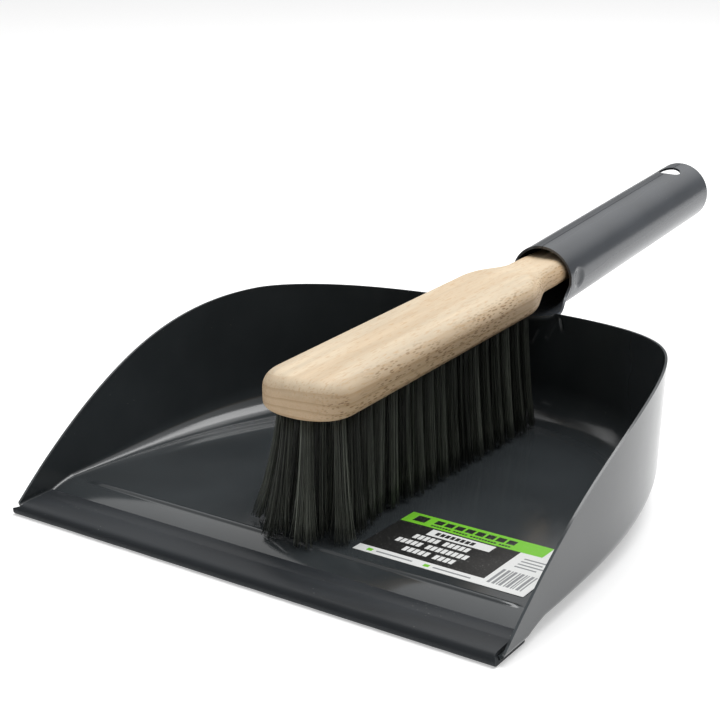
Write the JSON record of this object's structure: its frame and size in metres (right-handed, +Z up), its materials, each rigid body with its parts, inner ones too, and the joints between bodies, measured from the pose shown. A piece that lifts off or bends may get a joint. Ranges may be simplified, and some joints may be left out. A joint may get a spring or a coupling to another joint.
{
  "type": "dustpan and brush set",
  "caption": "Sheet-steel dustpan with a rubber lip and a rolled tube handle, holding a wooden hand brush whose handle slides into the tube.",
  "frame": {"origin": "bottom centre of the whole set, brush in the pan", "axes": "+Z up, -Y the way the lip faces, +Y the way the handle points, +X to the right of someone looking from the lip along +Y"},
  "size_m": [0.2282, 0.4098, 0.0911],
  "materials": {
    "pan_paint": "gloss charcoal enamel",
    "tube_paint": "satin charcoal enamel",
    "lip_rubber": "satin dark grey rubber",
    "beech": "sanded beech, unvarnished",
    "bristle": "black filament",
    "label_paper": "printed gloss sticker"
  },
  "bodies": {
    "pan": {"pan_body": "pan_paint", "rubber_lip": "lip_rubber", "handle_tube": "tube_paint", "price_label": "label_paper"},
    "brush": {"brush_block": "beech", "bristle_rank_01": "bristle", "bristle_rank_02": "bristle", "bristle_rank_03": "bristle", "bristle_rank_04": "bristle", "bristle_rank_05": "bristle", "bristle_rank_06": "bristle", "bristle_rank_07": "bristle", "bristle_rank_08": "bristle", "bristle_rank_09": "bristle", "bristle_rank_10": "bristle", "bristle_rank_11": "bristle", "bristle_rank_12": "bristle", "bristle_rank_13": "bristle", "bristle_rank_14": "bristle", "bristle_rank_15": "bristle", "bristle_rank_16": "bristle", "bristle_rank_17": "bristle", "bristle_rank_18": "bristle"}
  },
  "joints": [
    {"name": "brush_draw_out", "type": "slide", "parent": "pan", "child": "brush", "axis": [0, -0.9999, 0.0105], "range_m": [0, 0.24], "deforming": ["bristle_rank_01", "bristle_rank_02", "bristle_rank_03", "bristle_rank_04", "bristle_rank_05", "bristle_rank_06", "bristle_rank_07", "bristle_rank_08", "bristle_rank_09", "bristle_rank_10", "bristle_rank_11", "bristle_rank_12", "bristle_rank_13", "bristle_rank_14", "bristle_rank_15", "bristle_rank_16", "bristle_rank_17", "bristle_rank_18"]}
  ]
}
